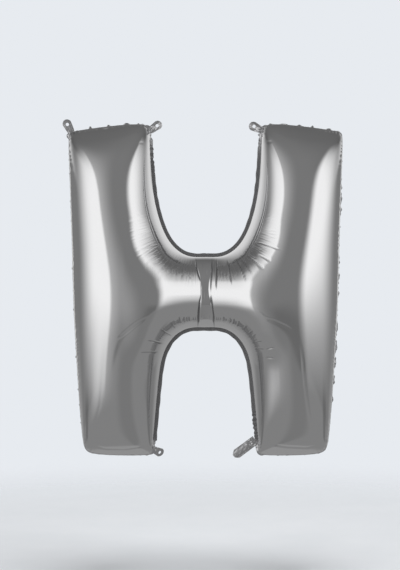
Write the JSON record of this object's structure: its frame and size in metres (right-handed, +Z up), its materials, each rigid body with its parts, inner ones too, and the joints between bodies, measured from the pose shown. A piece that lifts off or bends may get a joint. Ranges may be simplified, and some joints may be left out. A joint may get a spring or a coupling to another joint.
{
  "type": "letter foil balloon",
  "caption": "Inflated silver film balloon in the shape of a capital H, two sheets sealed at a flat seam, with punched hang tabs and a flat fill neck.",
  "frame": {"origin": "middle of the balloon in the plane of its seam, between the two legs and at half of the body's height", "axes": "+Z up along the legs, +X to the reader's right across the letter, -Y out of the front"},
  "size_m": [0.7295, 0.2652, 0.881],
  "materials": {
    "silver_film": "mirror-like metallised film, very slightly satin",
    "sealed_film": "heat-sealed metallised film, satin and finely wrinkled",
    "valve_film": "thin milky film"
  },
  "bodies": {
    "envelope": {"front_foil": "silver_film", "back_foil": "silver_film", "seam_band": "sealed_film"},
    "tab_left_outer_top": {"hang_tab_left_outer_top": "sealed_film"},
    "tab_left_inner_top": {"hang_tab_left_inner_top": "sealed_film"},
    "tab_right_inner_top": {"hang_tab_right_inner_top": "sealed_film"},
    "tab_left_inner_bottom": {"hang_tab_left_inner_bottom": "sealed_film"},
    "neck": {"fill_neck": "sealed_film", "fill_valve": "valve_film"}
  },
  "joints": [
    {"name": "fold_left_outer_top", "type": "hinge", "parent": "envelope", "child": "tab_left_outer_top", "pos_m": [-0.34986, 0, 0.41114], "axis": [-0.8829, 0, -0.4695], "range_deg": [-85, 85], "stiffness_Nm_per_rad": 0.0003},
    {"name": "fold_left_inner_top", "type": "hinge", "parent": "envelope", "child": "tab_left_inner_top", "pos_m": [-0.14125, 0, 0.41368], "axis": [-0.5446, 0, 0.8387], "range_deg": [-85, 85], "stiffness_Nm_per_rad": 0.0003},
    {"name": "fold_right_inner_top", "type": "hinge", "parent": "envelope", "child": "tab_right_inner_top", "pos_m": [0.1421, 0, 0.4142], "axis": [-0.4695, 0, -0.8829], "range_deg": [-85, 85], "stiffness_Nm_per_rad": 0.0003},
    {"name": "fold_left_inner_bottom", "type": "hinge", "parent": "envelope", "child": "tab_left_inner_bottom", "pos_m": [-0.13039, 0, -0.41759], "axis": [0.5446, 0, 0.8387], "range_deg": [-130, 40], "stiffness_Nm_per_rad": 0.0003},
    {"name": "fold_neck", "type": "hinge", "parent": "envelope", "child": "neck", "pos_m": [0.12204, 0, -0.39629], "axis": [0.5948, 0, -0.8039], "range_deg": [-85, 85], "stiffness_Nm_per_rad": 0.0015}
  ]
}
